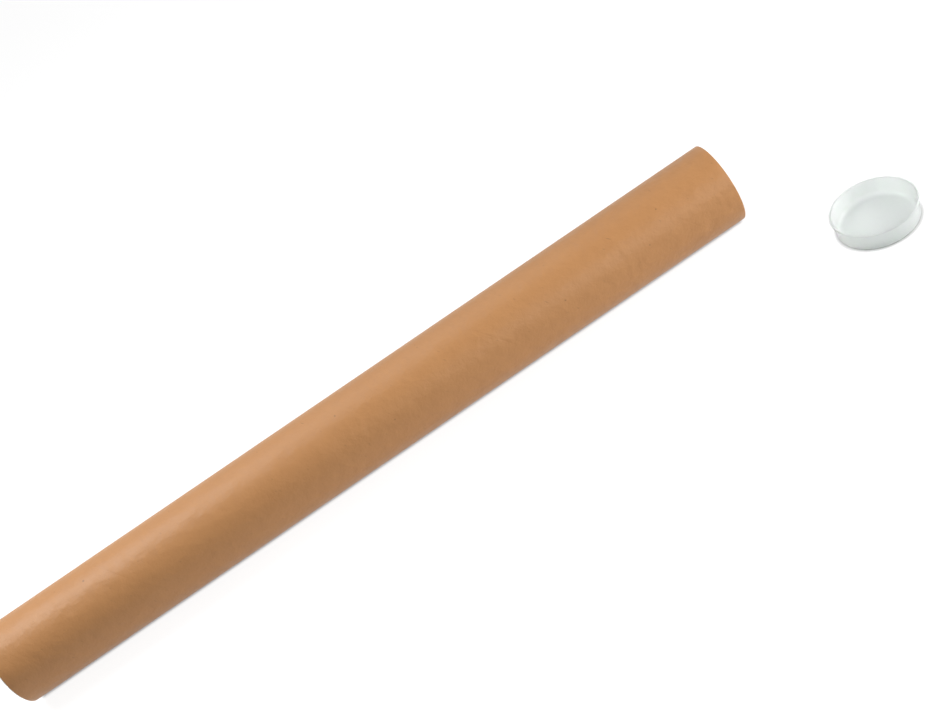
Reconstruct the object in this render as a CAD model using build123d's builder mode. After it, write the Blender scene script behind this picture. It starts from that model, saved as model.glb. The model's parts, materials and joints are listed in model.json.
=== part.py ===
from build123d import *
import os

# Cardboard mailing tube with two push-in end plugs, one fitted and one taken out.
# Frame, in millimetres: the origin is the centre of the open mouth, +X runs along the
# tube's axis and out of the mouth, +Z is up. The tube and the loose plug lie on one plane.

# Tube: kraft paper wound in a spiral, glued into one wall and cut off square.
tube_length = 625.0
bore_diameter = 60.0
tube_wall = 2.0
cut_edge_round = 0.3

# End plug: one soft plastic moulding, a shallow tapered cup with a lip round its rim.
# Under the lip it is a little wider than the bore, so it has to be pushed in.
plug_height = 14.0
plug_wall = 1.0
plug_floor = 1.0
plug_grip = 0.1
plug_taper = 1.4
lip_overhang = 0.6
lip_thickness = 1.0
nose_round = 1.4
lip_round = 0.4
floor_round = 0.6

# The fitted plug spreads the board of the far end, from the cut edge to just past its nose.
seat_clearance = 0.05
seat_past_nose = 0.5

# Where the loose plug lies: the gap to the mouth's plane, and to the tube's side.
loose_gap_ahead = 31.0
loose_gap_beside = 34.5

# Sizes that follow from these.
bore_radius = bore_diameter / 2
tube_radius = bore_radius + tube_wall
plug_depth = plug_height - lip_thickness
body_radius = bore_radius + plug_grip
nose_radius = body_radius - plug_taper
lip_radius = body_radius + lip_overhang
cup_mouth_radius = body_radius - plug_wall
cup_floor_radius = nose_radius - plug_wall
seat_radius = body_radius + seat_clearance
seat_depth = plug_depth + seat_past_nose

os.makedirs("parts", exist_ok=True)

# The tube: its wall in section, turned round its axis. The bore opens out very slightly
# over the fitted plug, and the outer corner of each cut end is a little soft.
with BuildPart() as tube:
    with BuildSketch(Plane.XZ):
        with BuildLine():
            Polyline(
                (-tube_length, seat_radius),
                (-tube_length + seat_depth, bore_radius),
                (0, bore_radius),
                (0, tube_radius),
                (-tube_length, tube_radius),
                close=True,
            )
        make_face()
    revolve(axis=Axis.X)
    outer_corners = tube.edges().filter_by(GeomType.CIRCLE).sort_by(SortBy.RADIUS)[-2:]
    fillet(outer_corners, radius=min(cut_edge_round, tube_wall / 3))

tube.part.label = "tube"
export_step(tube.part, "parts/tube.step")

# A plug's seat is the plane under its lip. The seat's +Z leaves the cup by its mouth.
# One plug sits on the tube's far cut end with its cup facing out. The other stands on
# its floor, mouth up, on the plane that the tube lies on.
far_end_seat = Plane(origin=(-tube_length, 0, 0), x_dir=(0, 1, 0), z_dir=(-1, 0, 0))
loose_seat = Plane(
    origin=(
        loose_gap_ahead + lip_radius,
        -(tube_radius + loose_gap_beside + lip_radius),
        plug_depth - tube_radius,
    ),
    x_dir=(1, 0, 0),
    z_dir=(0, 0, 1),
)
plug_seats = {"fitted_plug": far_end_seat, "loose_plug": loose_seat}

for name, seat in plug_seats.items():
    half_section = Plane(origin=seat.origin, x_dir=seat.x_dir, z_dir=-seat.y_dir)
    with BuildPart() as plug:
        with BuildSketch(half_section) as section:
            with BuildLine():
                Polyline(
                    (0, -plug_depth),
                    (nose_radius, -plug_depth),
                    (body_radius, 0),
                    (lip_radius, 0),
                    (lip_radius, lip_thickness),
                    (cup_mouth_radius, lip_thickness),
                    (cup_floor_radius, plug_floor - plug_depth),
                    (0, plug_floor - plug_depth),
                    close=True,
                )
            make_face()
            rounded_corners = [
                (nose_radius, -plug_depth, nose_round),
                (cup_floor_radius, plug_floor - plug_depth, floor_round),
                (lip_radius, lip_thickness, min(lip_round, lip_thickness / 2)),
                (cup_mouth_radius, lip_thickness, min(lip_round, plug_wall / 2)),
            ]
            for across, along, size in rounded_corners:
                corner = section.vertices().sort_by_distance((across, along))[0]
                fillet(corner, radius=size)
        revolve(axis=Axis(seat.origin, seat.z_dir))

    plug.part.label = name
    export_step(plug.part, f"parts/{name}.step")
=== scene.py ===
import json
import math

import bmesh
import bpy
from mathutils import Matrix, Vector


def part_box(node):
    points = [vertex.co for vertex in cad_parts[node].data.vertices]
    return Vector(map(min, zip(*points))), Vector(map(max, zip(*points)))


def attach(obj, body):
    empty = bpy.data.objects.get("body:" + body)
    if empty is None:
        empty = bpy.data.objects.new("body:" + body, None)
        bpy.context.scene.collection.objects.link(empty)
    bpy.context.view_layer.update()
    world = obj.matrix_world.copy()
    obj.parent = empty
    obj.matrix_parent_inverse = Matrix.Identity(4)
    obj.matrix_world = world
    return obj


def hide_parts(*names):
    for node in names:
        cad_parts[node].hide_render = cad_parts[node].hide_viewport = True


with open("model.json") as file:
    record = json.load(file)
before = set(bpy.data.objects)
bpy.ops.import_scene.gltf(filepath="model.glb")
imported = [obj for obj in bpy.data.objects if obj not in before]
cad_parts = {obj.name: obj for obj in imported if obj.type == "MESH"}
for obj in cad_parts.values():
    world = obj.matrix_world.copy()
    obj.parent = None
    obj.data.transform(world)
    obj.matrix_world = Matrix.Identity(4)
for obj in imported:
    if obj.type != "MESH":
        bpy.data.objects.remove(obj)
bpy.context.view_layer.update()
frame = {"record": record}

# The tube. Strips of kraft paper about 120 mm wide are glued over each other in a spiral
# round a mandrel, and the finished pipe is cut off square. The face strip's edges butt
# together along one long helical seam, and each cut end shows the edges of the plies.
mm = 0.001
tube_low, tube_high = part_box("tube")
mounts = {mount["name"]: mount for mount in frame["record"]["mounts"]}
tube_length = tube_high.x - tube_low.x
tube_radius = tube_high.y
bore_radius = mounts["mouth"]["dims"]["r_mm"] * mm
wall = tube_radius - bore_radius

seam_pitch = 153 * mm
seam_start = -174 * mm
lining_turns_before = 1.4
seam_half_width = 0.2 * mm
seam_depth = 0.05 * mm
ply_rise = 0.03 * mm
ply_count = 6
glue_line_half_width = 0.05 * mm
glue_line_depth = 0.06 * mm
corner_round = 0.3 * mm
corner_steps = (30, 60, 90)
plug_seat_depth = 13.5 * mm
plug_seat_spread = 0.15 * mm
steps_round = 160
weld_gap = 0.02 * mm
across_strip_mm = (0, 0.22, 0.6, 2, 6, 14, 26, 42, 60, 78, 96, 114, 130, 142, 149, 152, 152.6)


def bore_radius_at(x):
    """The bore's radius, spread a little over the plug in the far end."""
    into_seat = (tube_low.x + plug_seat_depth - x) / plug_seat_depth
    return bore_radius + plug_seat_spread * max(0.0, into_seat)


def face_radius(x, across):
    """The outside, where one edge of the face strip stands a hair prouder than the other."""
    groove = max(0.0, 1 - min(across, seam_pitch - across) / seam_half_width / 2)
    return tube_radius - ply_rise * across / seam_pitch - seam_depth * groove


def lining_radius(x, across):
    """The inside, which is the innermost strip with a seam of its own."""
    groove = max(0.0, 1 - min(across, seam_pitch - across) / seam_half_width / 2)
    return bore_radius_at(x) + seam_depth * groove


def wind_strip(board, radius_at, first_x):
    """A strip wound in a spiral past both ends of the tube, with its own edges joined."""
    turns = math.ceil(tube_length / seam_pitch) + 2
    rows = []
    for step in range(turns * steps_round + 1):
        angle = 2 * math.pi * step / steps_round
        row = []
        for across in across_strip_mm:
            x = first_x + seam_pitch * step / steps_round + across * mm
            r = radius_at(x, across * mm)
            row.append(board.verts.new((x, -r * math.cos(angle), -r * math.sin(angle))))
        rows.append(row)
    for step in range(turns * steps_round):
        here, ahead = rows[step], rows[step + 1]
        for i in range(len(across_strip_mm) - 1):
            board.faces.new((here[i], here[i + 1], ahead[i + 1], ahead[i]))
        if step + 1 + steps_round < len(rows):
            beside, beside_ahead = rows[step + steps_round], rows[step + 1 + steps_round]
            board.faces.new((here[-1], beside[0], beside_ahead[0], ahead[-1]))


def cut_square(board, x, outward):
    """Cuts everything off beyond the plane at x and returns the edges of the cut."""
    everything = board.verts[:] + board.edges[:] + board.faces[:]
    cut = bmesh.ops.bisect_plane(
        board, geom=everything, plane_co=(x, 0, 0), plane_no=(outward, 0, 0), clear_outer=True
    )
    return [e for e in cut["geom_cut"] if isinstance(e, bmesh.types.BMEdge)]


def ring_inward(board, edges, x, radius):
    """Draws the ring of edges on to a new ring at x, of that radius."""
    drawn = bmesh.ops.extrude_edge_only(board, edges=edges)["geom"]
    for vert in (v for v in drawn if isinstance(v, bmesh.types.BMVert)):
        spoke = Vector((0, vert.co.y, vert.co.z)).normalized() * radius
        vert.co = Vector((x, spoke.y, spoke.z))
    return [e for e in drawn if isinstance(e, bmesh.types.BMEdge)]


def stitch_rings(board, one, other):
    """Fills the flat band between two rings, working round them both together."""
    rings = []
    for edges in (one, other):
        verts = {vert for edge in edges for vert in edge.verts}
        rings.append(sorted(verts, key=lambda vert: math.atan2(vert.co.z, vert.co.y)))
    angles = []
    for ring in rings:
        ring.append(ring[0])
        angles.append([math.atan2(vert.co.z, vert.co.y) for vert in ring])
        angles[-1][-1] += 2 * math.pi
    (a, b), (angle_a, angle_b) = rings, angles
    i = j = 0
    while i + 1 < len(a) or j + 1 < len(b):
        if j + 1 == len(b) or (i + 1 < len(a) and angle_a[i + 1] <= angle_b[j + 1]):
            board.faces.new((a[i], a[i + 1], b[j]))
            i += 1
        else:
            board.faces.new((a[i], b[j + 1], b[j]))
            j += 1


outside = bmesh.new()
wind_strip(outside, face_radius, tube_low.x + seam_start - seam_pitch)
lining = bmesh.new()
wind_strip(lining, lining_radius, tube_low.x - seam_pitch * lining_turns_before)
cut_square(outside, tube_high.x - corner_round, 1)
cut_square(outside, tube_low.x + corner_round, -1)
cut_square(lining, tube_high.x, 1)
cut_square(lining, tube_low.x, -1)
for board in (outside, lining):
    bmesh.ops.remove_doubles(board, verts=board.verts, dist=weld_gap)
lining_mesh = bpy.data.meshes.new("lining")
lining.to_mesh(lining_mesh)
lining.free()
outside.from_mesh(lining_mesh)
bpy.data.meshes.remove(lining_mesh)

ply = wall / ply_count
mid_wall = bore_radius + wall / 2
glue_groove = ((glue_line_half_width, 0), (0, glue_line_depth), (-glue_line_half_width, 0))
for end_x, outward in ((tube_high.x, 1), (tube_low.x, -1)):
    rims = [e for e in outside.edges if e.is_boundary and abs(e.verts[0].co.x - end_x) < 1 * mm]
    outer = [e for e in rims if e.verts[0].co.yz.length > mid_wall]
    inner = [e for e in rims if e.verts[0].co.yz.length < mid_wall]
    for degrees in corner_steps:
        drop = corner_round * (1 - math.sin(math.radians(degrees)))
        shrink = corner_round * (1 - math.cos(math.radians(degrees)))
        outer = ring_inward(outside, outer, end_x - outward * drop, tube_radius - shrink)
    for layer in range(ply_count - 1, 0, -1):
        glue_line = bore_radius + ply * layer
        for aside, sunk in glue_groove:
            outer = ring_inward(outside, outer, end_x - outward * sunk, glue_line + aside)
    stitch_rings(outside, outer, inner)
bmesh.ops.recalc_face_normals(outside, faces=outside.faces)
if outside.calc_volume(signed=True) < 0:
    bmesh.ops.reverse_faces(outside, faces=outside.faces)
tube_mesh = bpy.data.meshes.new("wound_tube")
outside.to_mesh(tube_mesh)
outside.free()
tube_mesh.polygons.foreach_set("use_smooth", [True] * len(tube_mesh.polygons))
cut_edge_angle = math.radians(40)
tube_mesh.set_sharp_from_angle(angle=cut_edge_angle)
wound_tube = bpy.data.objects.new("wound_tube", tube_mesh)
bpy.context.scene.collection.objects.link(wound_tube)
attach(wound_tube, "tube")
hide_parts("tube")


def new_material(name):
    """An empty node material with its shader, and a function that adds and links nodes."""
    material = bpy.data.materials.new(name)
    material.use_nodes = True
    nodes, links = material.node_tree.nodes, material.node_tree.links
    shader = nodes["Principled BSDF"]

    def add(kind, inputs=None, **settings):
        node = nodes.new(kind)
        for key, value in settings.items():
            setattr(node, key, value)
        for key, value in (inputs or {}).items():
            if isinstance(value, bpy.types.NodeSocket):
                links.new(value, node.inputs[key])
            else:
                node.inputs[key].default_value = value
        return node

    return material, shader, add, links


formation_size = 24 * mm
buckle_size = 13 * mm
mottle_size = 6 * mm
fleck_size = 1.3 * mm
fibre_size = 0.5 * mm
fibre_stretch = 6
fleck_stretch = 3
formation_in_tone = 0.14
mottle_in_tone = 0.12
fibres_in_tone = 0.08
deep_kraft = (0.425, 0.194, 0.068, 1)
pale_kraft = (0.572, 0.283, 0.109, 1)
fleck_colour = (0.17, 0.085, 0.04, 1)
fleck_strength = 0.4
speck_strength = 0.6
specks_mm = (
    ((-540.9, -7.7, 31.1), 1.1),
    ((-327.1, -11.9, 29.7), 0.8),
    ((-292.9, -30.2, 10.7), 0.7),
    ((-145.4, -29.5, 12.5), 0.8),
    ((-73.5, -30.0, 11.3), 0.7),
    ((-55.7, -18.5, 26.1), 0.7),
)

kraft, kraft_shader, add, links = new_material("kraft_paper")
place = add("ShaderNodeTexCoord").outputs["Object"]
apart = add("ShaderNodeSeparateXYZ", {"Vector": place})
out_x, out_y, out_z = apart.outputs["X"], apart.outputs["Y"], apart.outputs["Z"]


def maths(operation, a, b=0.0, c=0.0):
    node = add("ShaderNodeMath", {0: a, 1: b, 2: c}, operation=operation)
    return node.outputs["Value"]


around = maths("ARCTAN2", maths("MULTIPLY", out_z, -1), maths("MULTIPLY", out_y, -1))
twist = maths("MULTIPLY", out_x, 2 * math.pi / seam_pitch)
strip_angle = maths("SUBTRACT", around, twist)
circumference = 2 * math.pi * tube_radius
strip_width = seam_pitch * circumference / math.hypot(seam_pitch, circumference)
strip_scale = strip_width / (2 * math.pi)
run_per_x = math.hypot(seam_pitch, circumference) / seam_pitch
strip_u = maths("MULTIPLY", maths("COSINE", strip_angle), strip_scale)
strip_v = maths("MULTIPLY", maths("SINE", strip_angle), strip_scale)


def along_strip(stretch):
    """A place on the paper, in metres, drawn out along the strip by that factor."""
    run = maths("MULTIPLY", out_x, run_per_x / stretch)
    return add("ShaderNodeCombineXYZ", {"X": strip_u, "Y": strip_v, "Z": run}).outputs["Vector"]


def cloud(vector, size, detail=3.0, roughness=0.55):
    """Soft noise from 0 to 1, with patches of about that size in metres."""
    noise = add(
        "ShaderNodeTexNoise",
        {"Vector": vector, "Scale": 1 / size, "Detail": detail, "Roughness": roughness},
    )
    return noise.outputs["Fac"]


def mark(centre, size):
    """1 inside a small spot round a place on the tube, fading to 0 at its edge."""
    away = add("ShaderNodeVectorMath", {0: place, 1: centre}, operation="DISTANCE")
    fade = {"Value": away.outputs["Value"], "From Min": size, "From Max": size * 0.5}
    return add("ShaderNodeMapRange", fade).outputs["Result"]


formation = cloud(place, formation_size, 2)
mottle = cloud(place, mottle_size, 3, 0.6)
buckles = cloud(place, buckle_size, 1)
fibres = cloud(along_strip(fibre_stretch), fibre_size, 3, 0.6)
flecks = cloud(along_strip(fleck_stretch), fleck_size, 1, 0.4)

tone = maths("MULTIPLY_ADD", maths("SUBTRACT", formation, 0.5), formation_in_tone, 0.5)
tone = maths("MULTIPLY_ADD", maths("SUBTRACT", mottle, 0.5), mottle_in_tone, tone)
tone = maths("MULTIPLY_ADD", maths("SUBTRACT", fibres, 0.5), fibres_in_tone, tone)
paper = add("ShaderNodeValToRGB", {"Fac": tone})
paper.color_ramp.elements[0].position = 0.2
paper.color_ramp.elements[0].color = deep_kraft
paper.color_ramp.elements[1].position = 0.8
paper.color_ramp.elements[1].color = pale_kraft
fleck_mask = add("ShaderNodeMapRange", {"Value": flecks, "From Min": 0.74, "From Max": 0.82})
specks = maths("MULTIPLY", fleck_mask.outputs["Result"], fleck_strength)
for centre_mm, size_mm in specks_mm:
    centre = [value * mm for value in centre_mm]
    speck = maths("MULTIPLY", mark(centre, size_mm * mm), speck_strength)
    specks = maths("MAXIMUM", specks, speck)
flecked = add("ShaderNodeMix", data_type="RGBA", blend_type="MIX")
colour_a, colour_b, colour_out = flecked.inputs[6], flecked.inputs[7], flecked.outputs[2]
links.new(specks, flecked.inputs["Factor"])
links.new(paper.outputs["Color"], colour_a)
colour_b.default_value = fleck_colour
links.new(colour_out, kraft_shader.inputs["Base Color"])
shine = add("ShaderNodeMapRange", {"Value": mottle, "To Min": 0.42, "To Max": 0.54})
links.new(shine.outputs["Result"], kraft_shader.inputs["Roughness"])
kraft_shader.inputs["Specular IOR Level"].default_value = 0.4
kraft_shader.inputs["Sheen Weight"].default_value = 0.04
kraft_shader.inputs["Sheen Roughness"].default_value = 0.5
waves = add("ShaderNodeBump", {"Height": buckles, "Distance": 0.6 * mm, "Strength": 0.9})
dents = add(
    "ShaderNodeBump",
    {"Height": mottle, "Distance": 0.55 * mm, "Strength": 0.9, "Normal": waves.outputs["Normal"]},
)
grain = add(
    "ShaderNodeBump",
    {"Height": fibres, "Distance": 0.008 * mm, "Strength": 0.5, "Normal": dents.outputs["Normal"]},
)
links.new(grain.outputs["Normal"], kraft_shader.inputs["Normal"])
tube_mesh.materials.append(kraft)

# The end plugs. Each is one moulding of natural polyethylene, a shallow cup that tapers
# to its floor, with a thin wall and a lip that stops it at the tube's cut edge. The mould
# leaves a small gate mark in the middle of the floor.
plug_wall = 1.0 * mm
plug_floor = 1.0 * mm
plug_lip = 1.0 * mm
lip_overhang = 0.6 * mm
plug_taper = 1.4 * mm
nose_round = 1.4 * mm
lip_root_round = 0.2 * mm
lip_under_round = 0.35 * mm
lip_top_round = 0.45 * mm
cup_mouth_round = 0.5 * mm
cup_floor_round = 4.5 * mm
gate_base_radius = 1.3 * mm
gate_top_radius = 1.2 * mm
gate_height = 0.15 * mm
gate_round = 0.1 * mm
gate_edge_angle = math.radians(50)
plug_steps = 144
arc_steps = 6


def rounded(corner, before, after, radius):
    """The arc that rounds a corner of an outline between its two neighbours."""
    corner, before, after = Vector(corner), Vector(before), Vector(after)
    to_before, to_after = (before - corner).normalized(), (after - corner).normalized()
    half = to_before.angle(to_after) / 2
    reach = radius / math.tan(half)
    middle = corner + (to_before + to_after).normalized() * (radius / math.sin(half))
    start = corner + to_before * reach - middle
    end = corner + to_after * reach - middle
    sweep = start.angle_signed(end)
    turned = [Matrix.Rotation(-sweep * i / arc_steps, 2) for i in range(arc_steps + 1)]
    return [middle + rotation @ start for rotation in turned]


def plug_outline(lip_radius, height):
    """Half of the plug in section, from the middle of its underside to the cup's middle."""
    body = lip_radius - lip_overhang
    depth = height - plug_lip
    corners = [
        ((0, -depth), 0),
        ((body - plug_taper, -depth), nose_round),
        ((body, 0), lip_root_round),
        ((lip_radius, 0), lip_under_round),
        ((lip_radius, plug_lip), lip_top_round),
        ((body - plug_wall, plug_lip), cup_mouth_round),
        ((body - plug_taper - plug_wall, plug_floor - depth), cup_floor_round),
        ((gate_base_radius, plug_floor - depth), gate_round),
        ((gate_top_radius, plug_floor - depth + gate_height), gate_round),
        ((0, plug_floor - depth + gate_height), 0),
    ]
    outline = []
    for i, (corner, radius) in enumerate(corners):
        if radius:
            outline += rounded(corner, corners[i - 1][0], corners[i + 1][0], radius)
        else:
            outline.append(Vector(corner))
    return outline


def turn_plug(name, node, seat):
    """Turns the plug's outline round its axis and places it by its seat."""
    low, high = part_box(node)
    height, _, lip_width = sorted(high - low)
    outline = plug_outline(lip_width / 2, height)
    plug = bmesh.new()
    rings = []
    for r, h in outline:
        if r == 0:
            rings.append([plug.verts.new((0, 0, h))])
        else:
            turns = [2 * math.pi * i / plug_steps for i in range(plug_steps)]
            rings.append([plug.verts.new((r * math.cos(a), r * math.sin(a), h)) for a in turns])
    for one, other in zip(rings, rings[1:]):
        for i in range(plug_steps):
            j = (i + 1) % plug_steps
            if len(one) == 1:
                plug.faces.new((one[0], other[i], other[j]))
            elif len(other) == 1:
                plug.faces.new((one[i], one[j], other[0]))
            else:
                plug.faces.new((one[i], one[j], other[j], other[i]))
    bmesh.ops.recalc_face_normals(plug, faces=plug.faces)
    mesh = bpy.data.meshes.new(name)
    plug.to_mesh(mesh)
    plug.free()
    mesh.transform(seat)
    mesh.polygons.foreach_set("use_smooth", [True] * len(mesh.polygons))
    mesh.set_sharp_from_angle(angle=gate_edge_angle)
    piece = bpy.data.objects.new(name, mesh)
    bpy.context.scene.collection.objects.link(piece)
    return piece


loose_low, loose_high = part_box("loose_plug")
loose_middle = (loose_low + loose_high) / 2
loose_seat = Matrix.Translation((loose_middle.x, loose_middle.y, loose_high.z - plug_lip))
far_seat = Matrix.Translation((tube_low.x, 0, 0)) @ Matrix.Rotation(math.radians(-90), 4, "Y")
loose_plug = turn_plug("plug_beside_mouth", "loose_plug", loose_seat)
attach(loose_plug, "tube")
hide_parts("loose_plug")
fitted_plug = turn_plug("plug_in_far_end", "fitted_plug", far_seat)
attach(fitted_plug, "fitted_plug")
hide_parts("fitted_plug")

natural, natural_shader, add, links = new_material("natural_polyethylene")
natural_shader.inputs["Base Color"].default_value = (0.94, 0.99, 0.966, 1)
natural_shader.inputs["Roughness"].default_value = 0.4
natural_shader.inputs["IOR"].default_value = 1.5
natural_shader.inputs["Transmission Weight"].default_value = 0.6
natural_shader.inputs["Subsurface Weight"].default_value = 0.8
natural_shader.inputs["Subsurface Radius"].default_value = (1.0, 1.1, 1.0)
natural_shader.inputs["Subsurface Scale"].default_value = 4 * mm
place = add("ShaderNodeTexCoord").outputs["Object"]
flow = cloud(place, 6 * mm, 2)
ripple = add("ShaderNodeBump", {"Height": flow, "Distance": 0.2 * mm, "Strength": 0.35})
links.new(ripple.outputs["Normal"], natural_shader.inputs["Normal"])
for piece in (loose_plug, fitted_plug):
    piece.data.materials.append(natural)

# The surface that the tube and its plug lie on: plain, pale and matt. It shows white, and keeps the
# soft shadows under the pieces. These are partly real shadow from the lamps, and partly a painted
# contact shadow, where ambient occlusion near the pieces darkens its white glow.
floor_z = tube_low.z - 0.05 * mm
reach = 6
contact_shadow_reach = 3.2 * mm
contact_shadow_power = 1.2
floor_glow = 0.9
floor_grey = 0.8
floor_grey_in_view = 0.22

floor_mesh = bpy.data.meshes.new("surface")
floor_corners = [(-reach, -reach), (reach, -reach), (reach, reach), (-reach, reach)]
floor_mesh.from_pydata([(x, y, floor_z) for x, y in floor_corners], [], [(0, 1, 2, 3)])
surface = bpy.data.objects.new("surface", floor_mesh)
bpy.context.scene.collection.objects.link(surface)
pale, pale_shader, add, links = new_material("pale_surface")
pale_shader.inputs["Roughness"].default_value = 0.9
seen = add("ShaderNodeLightPath")
through = seen.outputs["Is Transmission Ray"]
mirrored = maths("MAXIMUM", seen.outputs["Is Glossy Ray"], through)
lift = maths("MAXIMUM", seen.outputs["Is Camera Ray"], mirrored)
# Painted contact shadow: the floor's glow is darkened wherever a piece stands within a few
# millimetres, both in view and in reflections. Rays through the plug are left out.
under = add("ShaderNodeAmbientOcclusion", {"Distance": contact_shadow_reach}, samples=8)
contact = maths("POWER", under.outputs["AO"], contact_shadow_power)
glow_under_painted_shadow = maths("MULTIPLY", lift, maths("MAXIMUM", contact, through))
pale_shader.inputs["Emission Color"].default_value = (1, 1, 1, 1)
links.new(maths("MULTIPLY", glow_under_painted_shadow, floor_glow), pale_shader.inputs["Emission Strength"])
shade = maths("MULTIPLY_ADD", lift, floor_grey_in_view - floor_grey, floor_grey)
tint = add("ShaderNodeCombineColor", {"Red": shade, "Green": shade, "Blue": shade})
links.new(tint.outputs["Color"], pale_shader.inputs["Base Color"])
floor_mesh.materials.append(pale)

# Studio light: three soft boxes hang over and behind the tube's far end, a large one stands
# off its mouth, and a weak gridded one lights the mouth from the front. A low even fill
# comes from all round.
fill_level = 0.06
shown_level = 1.0

world = bpy.data.worlds.new("studio")
bpy.context.scene.world = world
world.use_nodes = True
sky_nodes, sky_links = world.node_tree.nodes, world.node_tree.links
sky = sky_nodes["Background"]
sky.inputs["Color"].default_value = (1, 1, 1, 1)
sky_path = sky_nodes.new("ShaderNodeLightPath")
shown = sky_path.outputs["Is Camera Ray"]
for kind_of_ray in ("Is Glossy Ray", "Is Transmission Ray"):
    either = sky_nodes.new("ShaderNodeMath")
    either.operation = "MAXIMUM"
    sky_links.new(shown, either.inputs[0])
    sky_links.new(sky_path.outputs[kind_of_ray], either.inputs[1])
    shown = either.outputs[0]
level = sky_nodes.new("ShaderNodeMapRange")
level.inputs["To Min"].default_value = fill_level
level.inputs["To Max"].default_value = shown_level
sky_links.new(shown, level.inputs["Value"])
sky_links.new(level.outputs["Result"], sky.inputs["Strength"])


def soft_box(name, at, aim, size, watts, spread=180):
    """A square lamp at a place, turned to face another, with a grid where it spreads less."""
    lamp = bpy.data.lights.new(name, "AREA")
    lamp.size = size
    lamp.energy = watts
    lamp.spread = math.radians(spread)
    holder = bpy.data.objects.new(name, lamp)
    holder.location = at
    holder.rotation_euler = (Vector(aim) - Vector(at)).to_track_quat("-Z", "Y").to_euler()
    bpy.context.scene.collection.objects.link(holder)


far_end = Vector((tube_low.x, 0, 0))
mouth_end = Vector((tube_high.x, 0, 0))
mid_tube = far_end + Vector((0.32, 0, 0))
near_mouth = mouth_end - Vector((0.1, 0, 0))
over_far_end = far_end + Vector((-0.12, 0.15, 0.75))
beyond_far_end = far_end + Vector((-0.32, 0.2, 0.8))
behind_tube = far_end + Vector((0.27, 0.45, 0.9))
off_the_mouth = mouth_end + Vector((1.2, -0.4, 0.4))
before_mouth = mouth_end + Vector((0.15, -0.9, 0.5))
soft_box("overhead_box", over_far_end, far_end, size=0.45, watts=2.4)
soft_box("end_box", beyond_far_end, far_end, size=0.4, watts=3.5)
soft_box("back_box", behind_tube, mid_tube, size=0.7, watts=3.2)
soft_box("side_box", off_the_mouth, mouth_end, size=0.7, watts=18)
soft_box("front_box", before_mouth, near_mouth, size=0.5, watts=0.46, spread=60)

# The camera looks down on the tube from the side, turned so that the tube lies across the
# frame from lower left to upper right.
camera_data = bpy.data.cameras.new("camera")
camera_data.sensor_width = 36
camera_data.lens = 48.8
camera_data.clip_end = 50
camera = bpy.data.objects.new("camera", camera_data)
bpy.context.scene.collection.objects.link(camera)
bpy.context.scene.camera = camera
pitch, yaw, roll = (math.radians(degrees) for degrees in (37.05, 0.87, 33.71))
from_mid_tube = Vector((0.0783, -0.7582, 0.5626))
ahead = Vector((math.sin(yaw) * math.cos(pitch), math.cos(yaw) * math.cos(pitch), -math.sin(pitch)))
level_right = Vector((math.cos(yaw), -math.sin(yaw), 0))
level_down = ahead.cross(level_right)
right = math.cos(roll) * level_right + math.sin(roll) * level_down
down = math.cos(roll) * level_down - math.sin(roll) * level_right
camera_turn = Matrix((right, -down, -ahead)).transposed().to_4x4()
middle_x = (tube_low.x + tube_high.x) / 2
camera_place = Vector((middle_x, 0, 0)) + from_mid_tube
camera.matrix_world = Matrix.Translation(camera_place) @ camera_turn
bpy.context.scene.view_settings.view_transform = "Standard"
